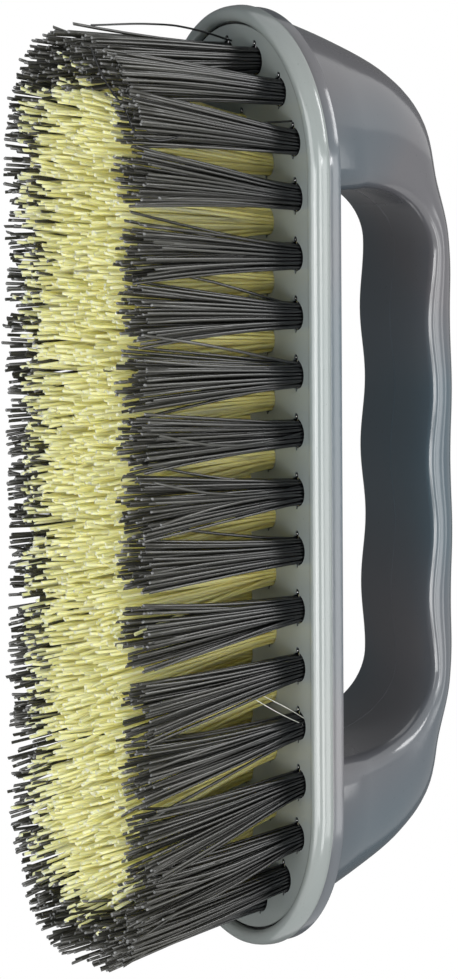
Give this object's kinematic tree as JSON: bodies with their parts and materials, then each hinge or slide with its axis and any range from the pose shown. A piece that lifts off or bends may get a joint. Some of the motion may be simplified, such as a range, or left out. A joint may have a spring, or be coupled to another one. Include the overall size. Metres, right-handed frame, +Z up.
{
  "type": "scrub brush",
  "caption": "Hand scrub brush with an oval tuft block, stiff dark and yellow bristle tufts, and a closed D handle with finger waves.",
  "frame": {"origin": "middle of the plane that the bristle tips stand on", "axes": "+X along the brush, +Y across it, +Z up from the bristle tips to the grip"},
  "size_m": [0.153, 0.0496, 0.0669],
  "materials": {
    "block_grey": "satin greenish grey moulded plastic",
    "handle_grey": "glossy purplish grey moulded plastic",
    "bristle_dark": "dark grey drawn filament",
    "bristle_yellow": "pale yellow drawn filament"
  },
  "bodies": {
    "root": {"tuft_block": "block_grey", "handle_body": "handle_grey", "dark_tuft_01": "bristle_dark", "dark_tuft_02": "bristle_dark", "dark_tuft_03": "bristle_dark", "dark_tuft_04": "bristle_dark", "dark_tuft_05": "bristle_dark", "dark_tuft_06": "bristle_dark", "dark_tuft_07": "bristle_dark", "dark_tuft_08": "bristle_dark", "dark_tuft_09": "bristle_dark", "dark_tuft_10": "bristle_dark", "dark_tuft_11": "bristle_dark", "dark_tuft_12": "bristle_dark", "dark_tuft_13": "bristle_dark", "dark_tuft_14": "bristle_dark", "dark_tuft_15": "bristle_dark", "dark_tuft_16": "bristle_dark", "dark_tuft_17": "bristle_dark", "dark_tuft_18": "bristle_dark", "dark_tuft_19": "bristle_dark", "dark_tuft_20": "bristle_dark", "dark_tuft_21": "bristle_dark", "dark_tuft_22": "bristle_dark", "dark_tuft_23": "bristle_dark", "dark_tuft_24": "bristle_dark", "dark_tuft_25": "bristle_dark", "dark_tuft_26": "bristle_dark", "dark_tuft_27": "bristle_dark", "dark_tuft_28": "bristle_dark", "dark_tuft_29": "bristle_dark", "dark_tuft_30": "bristle_dark", "dark_tuft_31": "bristle_dark", "dark_tuft_32": "bristle_dark", "dark_tuft_33": "bristle_dark", "dark_tuft_34": "bristle_dark", "yellow_tuft_01": "bristle_yellow", "yellow_tuft_02": "bristle_yellow", "yellow_tuft_03": "bristle_yellow", "yellow_tuft_04": "bristle_yellow", "yellow_tuft_05": "bristle_yellow", "yellow_tuft_06": "bristle_yellow", "yellow_tuft_07": "bristle_yellow", "yellow_tuft_08": "bristle_yellow", "yellow_tuft_09": "bristle_yellow", "yellow_tuft_10": "bristle_yellow", "yellow_tuft_11": "bristle_yellow", "yellow_tuft_12": "bristle_yellow", "yellow_tuft_13": "bristle_yellow", "yellow_tuft_14": "bristle_yellow", "yellow_tuft_15": "bristle_yellow", "yellow_tuft_16": "bristle_yellow", "yellow_tuft_17": "bristle_yellow", "yellow_tuft_18": "bristle_yellow", "yellow_tuft_19": "bristle_yellow", "yellow_tuft_20": "bristle_yellow", "yellow_tuft_21": "bristle_yellow", "yellow_tuft_22": "bristle_yellow", "yellow_tuft_23": "bristle_yellow", "yellow_tuft_24": "bristle_yellow"}
  },
  "joints": []
}
